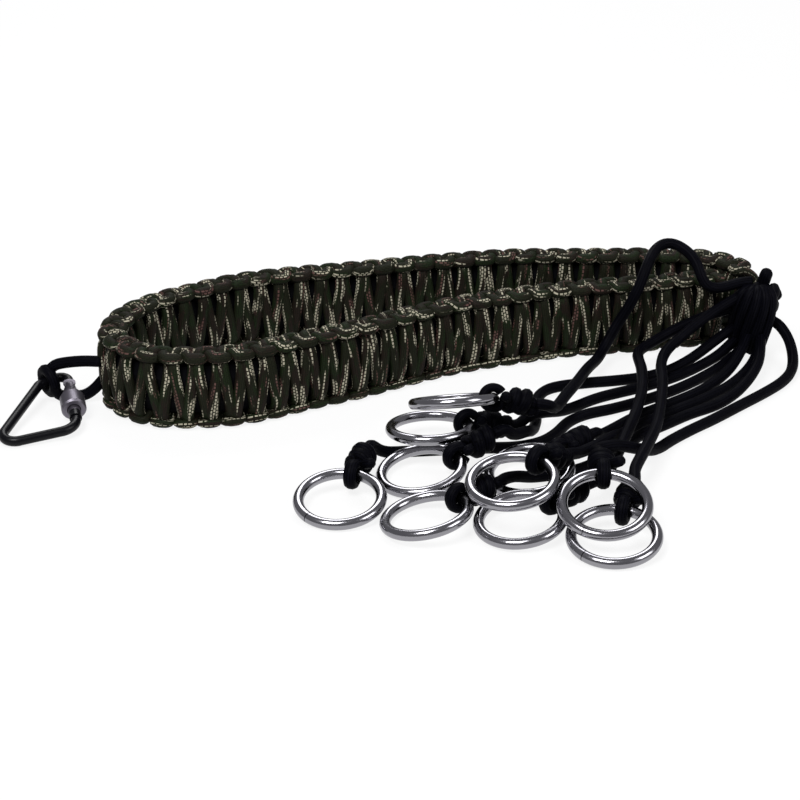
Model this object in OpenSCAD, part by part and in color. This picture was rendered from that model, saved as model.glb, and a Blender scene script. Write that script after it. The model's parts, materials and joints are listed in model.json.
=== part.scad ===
// Game bird carrier: a woven cord strap with a screw-lock carabiner and ten cord droppers that end in steel rings.

/* [Strap] */
// Width of the woven strap, which stands on its edge
strap_w = 31.5; // [28:0.5:34]
// Thickness of the woven strap
strap_t = 12; // [10:0.5:14]
// Distance from one edge knot of the weave to the next
knot_pitch = 8.6; // [7:0.1:11]
// Depth of the valleys between the woven bars
weave_relief = 1.1; // [0.5:0.1:1.4]
// Width of the black inner weave
inner_w = 19; // [17:0.5:20]
// Thickness of the black inner weave
inner_t = 7.6; // [7:0.2:7.8]
// Running clearance between the layers of the strap
layer_gap = 0.3; // [0.2:0.05:0.4]

/* [Cord] */
// Diameter of the cord of the droppers, knots and loop
cord_d = 4.4; // [3.6:0.1:4.6]
// Diameter of a dropper's knot
knot_d = 10.4; // [9:0.2:11]
// Length of a dropper's knot
knot_len = 11; // [9:0.5:12]
// Diameter of the binding knot at the strap's end
bind_d = 18; // [16:0.5:20]
// Number of wraps of the binding knot
bind_wraps = 6; // [4:1:7]

/* [Rings] */
// Inner diameter of a ring
ring_id = 25.4; // [22:0.2:26]
// Diameter of a ring's wire
ring_wire = 4; // [3:0.1:4.2]
// Gap of the butted seam of a ring
ring_seam = 0.3; // [0.2:0.05:0.6]
// Clearance between a ring's wire and the eye of cord round it
eye_gap = 0.5; // [0.4:0.05:0.8]

/* [Carabiner] */
// Diameter of the frame's bar
bar_d = 3.8; // [3.6:0.1:4.2]
// Diameter of the gate and of the frame's nose
gate_d = 4.8; // [4.6:0.1:5]
// Outer diameter of the screw sleeve
sleeve_d = 9.6; // [9:0.1:10.5]
// Length of the screw sleeve
sleeve_len = 10.5; // [9.5:0.5:11.5]
// Clearance between the sleeve and the gate
sleeve_gap = 0.3; // [0.2:0.05:0.4]
// Thickness of the hinge tongue of the frame
tongue_t = 2; // [1.6:0.1:2.2]
// Diameter of the gate's hinge pin
pin_d = 1.6; // [1.2:0.1:1.8]
// Clearance of the hinge
hinge_gap = 0.2; // [0.15:0.05:0.3]
// Diameter of the gate's spring bore
spring_bore = 2.8; // [2.4:0.1:3]
// Diameter of the spring's wire
spring_wire = 0.4; // [0.3:0.05:0.5]
// Number of turns of the gate's spring
spring_turns = 6; // [4:1:7]

/* [Hidden] */
$fn = 48;

camo = "#3a3b26";
black = "#14141a";
nickel = "#b8b8bc";
satin = "#8f8c9a";

// Plan of the strap's middle line, from the near end round the bend to the far end
strap_plan = [
    [141, 25.6], [127, 25.5], [110, 25.5], [92, 26.5], [73, 27], [53, 25], [37, 23], [22, 20], [3, 14], [-17, 7], [-33, 3],
    [-58, -4], [-77, -4.5], [-97, 2], [-108, 20], [-102, 39], [-88, 51.5], [-70, 59], [-52, 65], [-30, 67],
    [-3, 67], [23, 67.5], [50, 67], [66, 65.5], [92, 60], [108, 56.5], [121, 54], [137, 49], [147, 42.5], [151.5, 34], [152.5, 27]];

// Each ring: centre, plan direction of its upward slope, slope, plan direction of its eye, rise of its knot
ring_seats = [
    [[-41, -83.5, 4.7], 60, 10, 60, 5],
    [[8, -52.5, 23.1], -92, 23.5, -5, -12],
    [[1, -45.4, 9.6], -90, 8, 5, -12],
    [[-8, -69, 4.7], 15, 10, 15, 18],
    [[-14.3, -102.8, 5.1], -25, 12, 25, 0],
    [[16, -104, 15.5], 37, 10, 37, -15],
    [[30, -78, 4.7], 30, 10, 30, 3],
    [[17, -112, 4.7], 25, 10, 25, 3],
    [[44.1, -121.5, 12.1], 75, 18, 75, -5],
    [[44.7, -131, 4.7], 60, 10, 60, 3]];

// Route of each dropper, from its knot to the binding knot
dropper_routes = [
    [[-18, -50, 4], [-7, -48.5, 2.3], [5, -50, 2.3], [20, -52, 2.3], [32, -54, 2.3], [42, -52, 2.3], [50, -46, 2.3],
     [57, -38, 2.3], [66, -33, 2.3], [76, -31, 2.3], [89, -27, 2.3], [104, -21, 2.3], [118, -13, 2.3],
     [131, -4, 2.6], [139, 3, 3.2], [146, 8.5, 4]],
    [[48.5, -48, 14], [57, -34, 12], [65, -21, 10], [75, -4, 7.5], [83, 7.5, 6], [88, 14, 8], [93, 16.3, 15],
     [98, 16.5, 23], [102, 16.4, 31], [106, 19.5, 38.5], [113, 28, 43], [120, 31, 43.5], [125, 27, 41.5],
     [127.5, 20.5, 38.5], [129, 15.8, 32], [133, 15.2, 28.5], [139, 15.2, 29], [145, 14.5, 30.5]],
    [[37.8, -41.5, 7.4], [43.3, -40.2, 8.3], [49, -37, 7], [55, -32.5, 4.5], [62, -27, 2.6], [75, -20, 2.3],
     [93, -15, 2.3], [108, -9.5, 2.3], [120, -3, 2.3], [133, 4, 4], [144, 12, 7]],
    [[29, -58, 9.5], [36, -52, 7.4], [41, -44, 3.5], [45, -35, 2.3], [48, -24, 2.3], [52, -14, 2.3], [59, -7.5, 2.3],
     [72, -6, 2.3], [85, -6.5, 2.3], [98, -6, 2.3], [110, -2, 2.3], [122, 4, 4], [133, 9, 8], [144, 13.5, 12]],
    [[17, -87, 7.4], [23, -84, 6.4], [30, -80.5, 3.4], [38, -78.5, 2.3], [49, -76.5, 2.3], [57, -72.5, 2.3],
     [68, -64, 2.3], [80, -55, 2.3], [92, -48.5, 2.3], [104, -42, 2.3], [118, -36, 2.3], [131, -26.5, 3.5],
     [143, -13, 6.5], [151, 5, 10]],
    [[48, -79, 10.3], [57, -72, 9], [66, -63, 7.2], [74, -53, 3], [85, -45, 2.3], [100, -37.5, 2.3],
     [116, -29.5, 2.3], [130, -20, 2.5], [142, -8, 3.2], [150.5, 5, 4.5]],
    [[64, -55.5, 4.5], [74, -46, 2.4], [85, -38.5, 2.3], [105, -29, 2.3], [119, -21, 2.6], [131, -12, 4.5],
     [140, -2, 7.5], [147, 8, 10.5]],
    [[53, -92, 6], [60, -82, 6], [67, -71, 7.5], [73, -62, 10], [79, -52, 11.5], [87, -35, 11.5], [93, -17, 11],
     [96, -4, 10], [98.5, 3, 9.5], [105, 8, 10], [116, 12, 13], [130, 14, 17], [144, 14, 20]],
    [[52.5, -82, 12.5], [61.5, -79, 12], [71.5, -76, 8], [81, -69, 3], [90, -61.5, 2.3], [100, -55, 2.3], [112, -48, 2.3], [126, -39, 2.3],
     [140, -30, 2.3], [151, -21.5, 2.3], [158, -13, 3], [161.5, -4, 6], [162, 4, 10], [159, 10, 14]],
    [[64, -94.5, 9.5], [73, -81, 11], [82, -66, 11.5], [90, -48, 11.5], [97, -30, 11.5], [102, -14, 11], [108, -3, 11.5],
     [117, 4, 14], [130, 9, 20], [144, 13, 25]]];

// Plan points that lead the core strands from each end of the strap into the binding knot
near_lead = [[147.5, 19.5], [145, 23]];
far_lead = [[152.6, 24], [152.4, 21]];

// Two strands of the loop that holds the carabiner, from its hitch into the strap
loop_routes = [
    [[-132.8, 30.6, 12.8], [-130.3, 30.2, 15], [-126.3, 28.5, 16.4], [-120, 24.8, 18], [-112.9, 20.5, 19]],
    [[-131.4, 27, 6.3], [-129.6, 27.8, 3.2], [-126, 28.2, 2.3], [-120.5, 26.8, 2.6], [-116.5, 26, 5],
     [-112.5, 26, 9]]];
bind_seat = [152, 14, 0];

// Moves the whole layout so that its box stands centred on the origin
layout = [-2.6, 36.6, 0];

ring_r = (ring_id + ring_wire) / 2;
cord_r = cord_d / 2;
eye_r = ring_wire / 2 + eye_gap + cord_r;
knot_start = eye_r + cord_r * 0.78;
knot_end = knot_start + knot_len;

// Corners of the frame's middle line in its own plane, with the hitch at the origin, and their bend radii
frame_corners = [[-24.3, -39.8], [7.5, -35.2], [7.5, 3.4], [-4, -1.9]];
frame_bends = [5, 7, 3.5, 4];
frame_seat = [-133.2, 30.8, 8.2];
frame_tilt = 8.3;
tilt_axis = [0.95, -0.31, 0];
hinge_y = -5.8;
nose_y = -25.3;
nose_len = 3.4;
bend_swell = 0.06;
bend_lap = 0.25;
sleeve_y = -22.8;
tongue_w = bar_d * 0.88;
gate_x = frame_corners[1].x;
hitch_r = bar_d / 2 + eye_gap + cord_r;
top_dir = frame_corners[2] - frame_corners[3];
top_angle = atan2(top_dir.y, top_dir.x);

stations = 64;
per_knot = 4;
strap_samples = 20;
tube_step = 2.4;
tube_sides = 8;

function unit(v) = v / norm(v);
function blend_points(a, b, c, d, t) =
    0.5 * (2 * b + (c - a) * t + (2 * a - 5 * b + 4 * c - d) * t * t + (3 * b - a - 3 * c + d) * t * t * t);

// Smooth line through the points, n steps to each span
function smooth_line(p, n) = let (q = concat([2 * p[0] - p[1]], p, [2 * p[len(p) - 1] - p[len(p) - 2]]))
    concat([for (i = [1 : len(q) - 3], k = [0 : n - 1]) blend_points(q[i - 1], q[i], q[i + 1], q[i + 2], k / n)],
           [p[len(p) - 1]]);
function run_lengths(p) =
    [for (i = 0, s = 0; i < len(p); s = i + 1 < len(p) ? s + norm(p[i + 1] - p[i]) : s, i = i + 1) s];

// The line's points at n + 1 equal distances
function even_line(p, n) = let (s = run_lengths(p), total = s[len(s) - 1])
    [for (k = [0 : n]) [for (c = [0 : len(p[0]) - 1])
        lookup(total * k / n, [for (i = [0 : len(p) - 1]) [s[i], p[i][c]]])]];
function tangents(p) = [for (i = [0 : len(p) - 1]) unit(p[min(i + 1, len(p) - 1)] - p[max(i - 1, 0)])];
function ring_faces(rows, n) =
    [for (i = [0 : rows - 2], j = [0 : n - 1]) let (k = (j + 1) % n)
        each [[i * n + j, i * n + k, (i + 1) * n + k], [i * n + j, (i + 1) * n + k, (i + 1) * n + j]]];
function turned(faces) = [for (f = faces) [for (i = [len(f) - 1 : -1 : 0]) f[i]]];

// Side vectors carried along a line without twist
function side_vectors(t) = let (first = unit(cross(t[0], abs(t[0].z) > 0.9 ? [1, 0, 0] : [0, 0, 1])))
    [for (i = 0, u = first; i < len(t); i = i + 1, u = i < len(t) ? unit(u - (u * t[i]) * t[i]) : u) u];

// Round cord swept along a line of points
module cord_tube(p, r) {
    t = tangents(p);
    u = side_vectors(t);
    n = tube_sides;
    last = (len(p) - 1) * n;
    points = [for (i = [0 : len(p) - 1], j = [0 : n - 1]) let (a = 360 * j / n, v = cross(t[i], u[i]))
        p[i] + r * (cos(a) * u[i] + sin(a) * v)];
    caps = [[for (j = [0 : n - 1]) j], [for (j = [n - 1 : -1 : 0]) last + j]];
    polyhedron(points, concat(turned(ring_faces(len(p), n)), caps), convexity = 6);
}

// Cord along hand-chosen route points
module cord_run(route, r) {
    line = smooth_line(route, 12);
    s = run_lengths(line);
    cord_tube(even_line(line, max(3, round(s[len(s) - 1] / (tube_step * 2 * r)))), r);
}

// Ring and eye placement
function ring_x(s) = [cos(s[1]) * cos(s[2]), sin(s[1]) * cos(s[2]), sin(s[2])];
function ring_y(s) = [-sin(s[1]), cos(s[1]), 0];
function eye_dir(s) = cos(s[3] - s[1]) * ring_x(s) + sin(s[3] - s[1]) * ring_y(s);
function eye_point(s) = s[0] + ring_r * eye_dir(s);
function knot_dir(s) = let (e = eye_dir(s), f = unit([e.x, e.y, 0])) cos(s[4]) * f + [0, 0, sin(s[4])];
function plan_angle(v) = atan2(v.y, v.x);
module at_ring(s) translate(s[0]) rotate([0, 0, s[1]]) rotate([0, -s[2], 0]) rotate([0, 0, s[3] - s[1]]) children();
module at_knot(s) translate(eye_point(s)) rotate([0, 0, plan_angle(knot_dir(s))]) rotate([0, 90 - s[4], 0]) children();

// Strap
strap_line = even_line(smooth_line(strap_plan, strap_samples), stations);
strap_length = let (s = run_lengths(smooth_line(strap_plan, strap_samples))) s[len(s) - 1];
knots = round(strap_length / knot_pitch);
weave_line = even_line(smooth_line(strap_plan, strap_samples), knots * per_knot);
function out_normals(p) = [for (t = tangents(p)) [-t.y, t.x]];
function nearest_turn(d) = abs(d - round(d));

// Height of the woven bars: two bars lean apart from each top knot and meet at the bottom knots
function bar_dip(u, f) = let (lean = 0.12 + 0.26 * f)
    weave_relief * min(1, min(nearest_turn(u - lean), nearest_turn(u + lean)) / 0.25);
function edge_dip(u) = weave_relief * (1 - cos(360 * u)) / 2;
function foot_dip(u) = nearest_turn(u) < 0.2 ? weave_relief : 0;
face_rows = [0.14, 0.38, 0.62, 0.86];
function weave_section(u) = concat(
    [[strap_w - edge_dip(u), strap_t * 0.28]],
    [for (f = face_rows) [strap_w * (1 - f), strap_t / 2 - bar_dip(u, f)]],
    [[foot_dip(u), strap_t * 0.28], [foot_dip(u), -strap_t * 0.28]],
    [for (i = [3 : -1 : 0]) [strap_w * (1 - face_rows[i]), bar_dip(u, face_rows[i]) - strap_t / 2]],
    [[strap_w - edge_dip(u + 0.5), -strap_t * 0.28]]);
section_points = 12;

// Flat oval section of an inner layer, in the same order as the weave's
function oval_section(w, t, n) = [for (j = [0 : n - 1]) let (a = -360 * (j + 0.5) / n)
    [strap_w / 2 + w / 2 * max(-1, min(1, 1.3 * cos(a))), -t / 2 * max(-1, min(1, 1.3 * sin(a)))]];
function strap_points(line, sections) = let (n = out_normals(line))
    [for (i = [0 : len(line) - 1]) for (q = sections[i]) [line[i].x + n[i].x * q.y, line[i].y + n[i].y * q.y, q.x]];

// Tube along the strap with an outer and an inner skin of n points each
module strap_shell(outer, outer_rows, inner, inner_rows, n) {
    shift = outer_rows * n;
    a = (outer_rows - 1) * n;
    b = shift + (inner_rows - 1) * n;
    start = [for (j = [0 : n - 1]) let (k = (j + 1) % n) each [[j, shift + k, k], [j, shift + j, shift + k]]];
    end = [for (j = [0 : n - 1]) let (k = (j + 1) % n) each [[a + j, a + k, b + k], [a + j, b + k, b + j]]];
    inside = [for (f = turned(ring_faces(inner_rows, n))) [for (v = f) v + shift]];
    polyhedron(concat(outer, inner), concat(ring_faces(outer_rows, n), inside, start, end), convexity = 12);
}

module strap_weave() {
    rows = len(weave_line);
    outer = strap_points(weave_line, [for (i = [0 : rows - 1]) weave_section((i % per_knot) / per_knot)]);
    hollow = oval_section(inner_w + 2 * layer_gap, inner_t + 2 * layer_gap, section_points);
    inner = strap_points(strap_line, [for (p = strap_line) hollow]);
    color(camo) strap_shell(outer, rows, inner, len(strap_line), section_points);
}

module inner_weave() {
    n = 8;
    outer = strap_points(strap_line, [for (p = strap_line) oval_section(inner_w, inner_t, n)]);
    hole = oval_section(2 * cord_d + 2 * layer_gap, cord_d * 0.8 + 2 * layer_gap, n);
    inner = strap_points(strap_line, [for (p = strap_line) hole]);
    color(black) strap_shell(outer, len(strap_line), inner, len(strap_line), n);
}

module core_strands() {
    n = 8;
    line = concat(near_lead, strap_line, far_lead);
    points = strap_points(line, [for (p = line) oval_section(2 * cord_d, cord_d * 0.8, n)]);
    last = (len(line) - 1) * n;
    caps = [[for (j = [n - 1 : -1 : 0]) j], [for (j = [0 : n - 1]) last + j]];
    color(black) polyhedron(points, concat(ring_faces(len(line), n), caps), convexity = 12);
}

module binding_knot() {
    wrap_h = (strap_w - cord_d) / (bind_wraps - 1);
    color(black) translate(bind_seat) rotate_extrude() {
        square([bind_d / 2 - cord_r, strap_w + cord_r]);
        for (i = [0 : bind_wraps - 1]) intersection() {
            translate([bind_d / 2 - cord_r, cord_r + i * wrap_h]) circle(cord_r);
            square([bind_d, strap_w * 2]);
        }
    }
}

// Droppers, knots and rings
module ring_of(i) color(nickel) at_ring(ring_seats[i]) let (gap = 360 * ring_seam / (2 * PI * ring_r))
    rotate([0, 0, 150 + gap / 2]) rotate_extrude(angle = 360 - gap) translate([ring_r, 0]) circle(ring_wire / 2);

module ring_knot_of(i) color(black) {
    at_ring(ring_seats[i]) translate([ring_r, 0, 0]) rotate([90, 0, 180])
        rotate_extrude() translate([eye_r, 0]) circle(cord_r);
    turn_r = knot_len / 6;
    at_knot(ring_seats[i]) translate([0, 0, knot_start]) rotate_extrude() {
        square([knot_d / 2 - turn_r, knot_len]);
        for (k = [0 : 2]) translate([knot_d / 2 - turn_r, turn_r * (2 * k + 1)]) circle(turn_r);
    }
}

module dropper_of(i) color(black) let (s = ring_seats[i])
    cord_run(concat([eye_point(s) + knot_dir(s) * (knot_end - 1), eye_point(s) + knot_dir(s) * (knot_end + 4)],
                    dropper_routes[i]), cord_r);

// Carabiner
module at_frame() translate(frame_seat) rotate(a = frame_tilt, v = tilt_axis) children();
module hinge_line() translate([gate_x, hinge_y, 0]) children();
function corner_turn(a, b, c) = let (u = unit(b - a), v = unit(c - b)) atan2(u.x * v.y - u.y * v.x, u * v);

// Straight bar between two points of the frame's plane
module bar(a, b, d) translate([a.x, a.y, 0]) rotate([0, 0, atan2(b.y - a.y, b.x - a.x)]) rotate([0, 90, 0])
    cylinder(d = d, h = norm(b - a));

// Bend of radius r at corner b on the way from a to c
module bend(a, b, c, r) {
    turn = corner_turn(a, b, c);
    u = unit(b - a);
    side = sign(turn);
    centre = b - u * r * tan(abs(turn) / 2) + side * r * [-u.y, u.x];
    from = atan2(-side * u.x, side * u.y);
    translate([centre.x, centre.y, 0]) rotate([0, 0, turn > 0 ? from : from + turn])
        rotate_extrude(angle = abs(turn)) translate([r, 0]) circle(d = bar_d + bend_swell);
}
function tangent_length(a, b, c, r) = r * tan(abs(corner_turn(a, b, c)) / 2) - bend_lap;

module carabiner_frame() color(black) at_frame() difference() {
    union() {
        c = frame_corners;
        r = frame_bends;
        hinge = [gate_x, hinge_y];
        nose = [gate_x, nose_y];
        t = [tangent_length(c[3], c[0], c[1], r[0]), tangent_length(c[0], c[1], nose, r[1]),
             tangent_length(hinge, c[2], c[3], r[2]), tangent_length(c[2], c[3], c[0], r[3])];
        bar(nose, c[1] + unit(nose - c[1]) * t[1], bar_d);
        bend(nose, c[1], c[0], r[1]);
        bar(c[1] + unit(c[0] - c[1]) * t[1], c[0] + unit(c[1] - c[0]) * t[0], bar_d);
        bend(c[1], c[0], c[3], r[0]);
        bar(c[0] + unit(c[3] - c[0]) * t[0], c[3] + unit(c[0] - c[3]) * t[3], bar_d);
        bend(c[0], c[3], c[2], r[3]);
        bar(c[3] + unit(c[2] - c[3]) * t[3], c[2] + unit(c[3] - c[2]) * t[2], bar_d);
        bend(c[3], c[2], hinge, r[2]);
        bar(c[2] + unit(hinge - c[2]) * t[2], hinge + [0, gate_d / 2 + hinge_gap], bar_d);
        bar(nose, nose - [0, nose_len], gate_d);
        hinge_line() translate([0, 0, -tongue_t / 2]) cylinder(d = tongue_w, h = tongue_t);
        hinge_line() translate([-tongue_w / 2, 0, -tongue_t / 2]) cube([tongue_w, gate_d / 2 + hinge_gap + 1, tongue_t]);
    }
    hinge_line() cylinder(d = pin_d, h = bar_d * 2, center = true);
}

module gate() color(satin) at_frame() difference() {
    union() {
        bar([gate_x, hinge_y], [gate_x, nose_y + hinge_gap], gate_d);
        hinge_line() cylinder(d = gate_d, h = gate_d * 0.8, center = true);
    }
    hinge_line() translate([-gate_d, -bar_d / 2 - 2 * hinge_gap, -tongue_t / 2 - hinge_gap])
        cube([2 * gate_d, 2 * gate_d, tongue_t + 2 * hinge_gap]);
    hinge_line() cylinder(d = pin_d + hinge_gap, h = bar_d * 2, center = true);
    bar([gate_x, hinge_y], [gate_x, hinge_y - spring_len - gate_d], spring_bore);
}
spring_len = 8;
plunger_len = 3;

module gate_pin() color(satin) at_frame() hinge_line() cylinder(d = pin_d, h = gate_d * 0.8, center = true);

module gate_plunger() color(satin) at_frame() bar([gate_x, hinge_y - bar_d / 2 - hinge_gap],
    [gate_x, hinge_y - bar_d / 2 - hinge_gap - plunger_len], spring_bore - 2 * hinge_gap);

module gate_spring() {
    top = hinge_y - bar_d / 2 - hinge_gap - plunger_len - spring_wire;
    run = spring_len + gate_d + hinge_y - hinge_y - bar_d / 2 - hinge_gap - plunger_len - 2 * spring_wire;
    mid = spring_bore / 2 - hinge_gap - spring_wire / 2;
    steps = spring_turns * 8;
    color(satin) at_frame() cord_tube([for (k = [0 : steps]) let (a = 360 * k / 8)
        [gate_x + mid * cos(a), top - run * k / steps, mid * sin(a)]], spring_wire / 2);
}

module lock_sleeve() color(satin) at_frame() translate([gate_x, sleeve_y, 0]) rotate([-90, 0, 0]) rotate_extrude()
    polygon([
        [gate_d / 2 + sleeve_gap, 0], [sleeve_d / 2 - 0.6, 0], [sleeve_d / 2, 0.8],
        [sleeve_d / 2, sleeve_len * 0.72], [sleeve_d / 2 - 0.5, sleeve_len * 0.8],
        [sleeve_d / 2 - 1.2, sleeve_len], [gate_d / 2 + sleeve_gap, sleeve_len]]);

module carabiner_hitch() color(black) at_frame() rotate([0, 0, top_angle]) rotate([0, 90, 0])
    rotate_extrude() translate([hitch_r, 0]) circle(cord_r);

module carabiner_loop() color(black) for (route = loop_routes) cord_run(route, cord_r);

translate(layout) strap_weave();
translate(layout) inner_weave();
translate(layout) core_strands();
translate(layout) binding_knot();
translate(layout) carabiner_loop();
translate(layout) carabiner_hitch();
translate(layout) carabiner_frame();
translate(layout) gate();
translate(layout) gate_pin();
translate(layout) gate_spring();
translate(layout) gate_plunger();
translate(layout) lock_sleeve();
for (i = [1 : 10]) {
    translate(layout) ring_of(i - 1);
    translate(layout) ring_knot_of(i - 1);
    translate(layout) dropper_of(i - 1);
}
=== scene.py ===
"""Looks of a game bird carrier: woven strap, cord droppers with knots and steel rings, and a screw-lock carabiner.

Lengths are millimetres in the part's own layout, as in its source, unless a field says metres. MM and LAYOUT bring
them to the frame.
"""

from __future__ import annotations

import json
import logging
import math
from dataclasses import dataclass, field
from enum import Enum

import bpy
import numpy as np
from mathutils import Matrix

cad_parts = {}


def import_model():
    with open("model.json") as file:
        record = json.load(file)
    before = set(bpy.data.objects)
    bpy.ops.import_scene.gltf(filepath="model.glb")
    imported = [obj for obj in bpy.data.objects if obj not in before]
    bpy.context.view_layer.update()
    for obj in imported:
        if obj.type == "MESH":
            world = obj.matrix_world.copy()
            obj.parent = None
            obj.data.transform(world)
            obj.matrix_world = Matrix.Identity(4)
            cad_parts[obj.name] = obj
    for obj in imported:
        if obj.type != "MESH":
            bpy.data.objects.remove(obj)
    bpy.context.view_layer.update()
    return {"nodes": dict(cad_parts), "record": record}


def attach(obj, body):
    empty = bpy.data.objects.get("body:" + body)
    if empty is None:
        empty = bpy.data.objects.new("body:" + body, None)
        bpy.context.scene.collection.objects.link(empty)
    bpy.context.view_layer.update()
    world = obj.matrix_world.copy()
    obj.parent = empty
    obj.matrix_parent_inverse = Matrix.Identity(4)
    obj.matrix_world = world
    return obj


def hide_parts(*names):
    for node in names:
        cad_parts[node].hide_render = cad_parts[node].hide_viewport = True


LOG = logging.getLogger("carrier")
MM = 0.001
LAYOUT = np.array([-2.6, 36.6, 0.0])
UP = np.array([0.0, 0.0, 1.0])
FULL_TURN = 2 * math.pi

# Diameter of the black cord, the name of each cord's surface coordinates, and the points to each span of a route
CORD_D = 4.4
CORD_MAP = "cord_mm"
SPAN_STEPS = 12


class Slot(Enum):
    """Names of the record's material slots for the camouflage and the black cord."""

    CAMO = "camo_cord"
    BLACK = "black_cord"


# Plan of the strap's middle line, as in the part's source
STRAP_PLAN = [
    (141, 25.6), (127, 25.5), (110, 25.5), (92, 26.5), (73, 27), (53, 25), (37, 23), (22, 20), (3, 14), (-17, 7),
    (-33, 3), (-58, -4), (-77, -4.5), (-97, 2), (-108, 20), (-102, 39), (-88, 51.5), (-70, 59), (-52, 65), (-30, 67),
    (-3, 67), (23, 67.5), (50, 67), (66, 65.5), (92, 60), (108, 56.5), (121, 54), (137, 49), (147, 42.5), (151.5, 34),
    (152.5, 27),
]

# Plan direction of each ring's eye of cord, and the rise of its knot, in degrees
EYES = [(60, 5), (-5, -12), (5, -12), (15, 18), (25, 0), (37, -15), (30, 3), (25, 3), (75, -5), (60, 3)]

# Route of each dropper from its knot to the binding knot, as in the part's source
DROPPER_ROUTES = [
    [(-18, -50, 4), (-7, -48.5, 2.3), (5, -50, 2.3), (20, -52, 2.3), (32, -54, 2.3), (42, -52, 2.3), (50, -46, 2.3),
     (57, -38, 2.3), (66, -33, 2.3), (76, -31, 2.3), (89, -27, 2.3), (104, -21, 2.3), (118, -13, 2.3), (131, -4, 2.6),
     (139, 3, 3.2), (146, 8.5, 4)],
    [(48.5, -48, 14), (57, -34, 12), (65, -21, 10), (75, -4, 7.5), (83, 7.5, 6), (88, 14, 8), (93, 16.3, 15),
     (98, 16.5, 23), (102, 16.4, 31), (106, 19.5, 38.5), (113, 28, 43), (120, 31, 43.5), (125, 27, 41.5),
     (127.5, 20.5, 38.5), (129, 15.8, 32), (133, 15.2, 28.5), (139, 15.2, 29), (145, 14.5, 30.5)],
    [(37.8, -41.5, 7.4), (43.3, -40.2, 8.3), (49, -37, 7), (55, -32.5, 4.5), (62, -27, 2.6), (75, -20, 2.3),
     (93, -15, 2.3), (108, -9.5, 2.3), (120, -3, 2.3), (133, 4, 4), (144, 12, 7)],
    [(29, -58, 9.5), (36, -52, 7.4), (41, -44, 3.5), (45, -35, 2.3), (48, -24, 2.3), (52, -14, 2.3), (59, -7.5, 2.3),
     (72, -6, 2.3), (85, -6.5, 2.3), (98, -6, 2.3), (110, -2, 2.3), (122, 4, 4), (133, 9, 8), (144, 13.5, 12)],
    [(17, -87, 7.4), (23, -84, 6.4), (30, -80.5, 3.4), (38, -78.5, 2.3), (49, -76.5, 2.3), (57, -72.5, 2.3),
     (68, -64, 2.3), (80, -55, 2.3), (92, -48.5, 2.3), (104, -42, 2.3), (118, -36, 2.3), (131, -26.5, 3.5),
     (143, -13, 6.5), (151, 5, 10)],
    [(48, -79, 10.3), (57, -72, 9), (66, -63, 7.2), (74, -53, 3), (85, -45, 2.3), (100, -37.5, 2.3),
     (116, -29.5, 2.3), (130, -20, 2.5), (142, -8, 3.2), (150.5, 5, 4.5)],
    [(64, -55.5, 4.5), (74, -46, 2.4), (85, -38.5, 2.3), (105, -29, 2.3), (119, -21, 2.6), (131, -12, 4.5),
     (140, -2, 7.5), (147, 8, 10.5)],
    [(53, -92, 6), (60, -82, 6), (67, -71, 7.5), (73, -62, 10), (79, -52, 11.5), (87, -35, 11.5), (93, -17, 11),
     (96, -4, 10), (98.5, 3, 9.5), (105, 8, 10), (116, 12, 13), (130, 14, 17), (144, 14, 20)],
    [(52.5, -82, 12.5), (61.5, -79, 12), (71.5, -76, 8), (81, -69, 3), (90, -61.5, 2.3), (100, -55, 2.3),
     (112, -48, 2.3), (126, -39, 2.3), (140, -30, 2.3), (151, -21.5, 2.3), (158, -13, 3), (161.5, -4, 6),
     (162, 4, 10), (159, 10, 14)],
    [(64, -94.5, 9.5), (73, -81, 11), (82, -66, 11.5), (90, -48, 11.5), (97, -30, 11.5), (102, -14, 11),
     (108, -3, 11.5), (117, 4, 14), (130, 9, 20), (144, 13, 25)],
]

# Plan of the binding knot's middle
BINDING_SEAT = (152.0, 14.0)

# Two sides of the loop that holds the carabiner, from its hitch into the strap, as in the part's source
LOOP_ROUTES = [
    [(-132.8, 30.6, 12.8), (-130.3, 30.2, 15), (-126.3, 28.5, 16.4), (-120, 24.8, 18), (-112.9, 20.5, 19)],
    [(-131.4, 27, 6.3), (-129.6, 27.8, 3.2), (-126, 28.2, 2.3), (-120.5, 26.8, 2.6), (-116.5, 26, 5),
     (-112.5, 26, 9)],
]


def srgb(code: str) -> tuple[float, float, float, float]:
    """Turns a hex colour into linear values.

    Args:
        code: Six hex digits after a hash sign.

    Returns:
        Linear red, green, blue and an alpha of one.
    """
    parts = [int(code[i:i + 2], 16) / 255 for i in (1, 3, 5)]
    return tuple(c / 12.92 if c <= 0.04045 else ((c + 0.055) / 1.055) ** 2.4 for c in parts) + (1.0,)


def add_node(tree: bpy.types.NodeTree, kind: str, links: dict | None = None, sets: dict | None = None,
             **settings: object) -> bpy.types.Node:
    """Adds a shader node with its settings, socket values and incoming links.

    Args:
        tree: Node tree that takes the node.
        kind: Blender's name of the node type.
        links: Input socket to the output socket that feeds it.
        sets: Input socket to its constant value.
        **settings: Properties of the node itself.

    Returns:
        The new node.
    """
    node = tree.nodes.new(kind)
    for key, value in settings.items():
        setattr(node, key, value)
    for key, value in (sets or {}).items():
        node.inputs[key].default_value = value
    for key, source in (links or {}).items():
        tree.links.new(source, node.inputs[key])
    return node


def new_material(name: str) -> tuple[bpy.types.Material, bpy.types.NodeTree, bpy.types.Node]:
    """Starts a material with one Principled shader.

    Args:
        name: The material's name.

    Returns:
        The material, its node tree and its Principled node.
    """
    material = bpy.data.materials.new(name)
    material.use_nodes = True
    tree = material.node_tree
    return material, tree, tree.nodes["Principled BSDF"]


def unit(v: np.ndarray) -> np.ndarray:
    """Gives a vector, or each row of an array, the length one."""
    return v / np.maximum(np.linalg.norm(v, axis=-1, keepdims=True), 1e-12)


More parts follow.
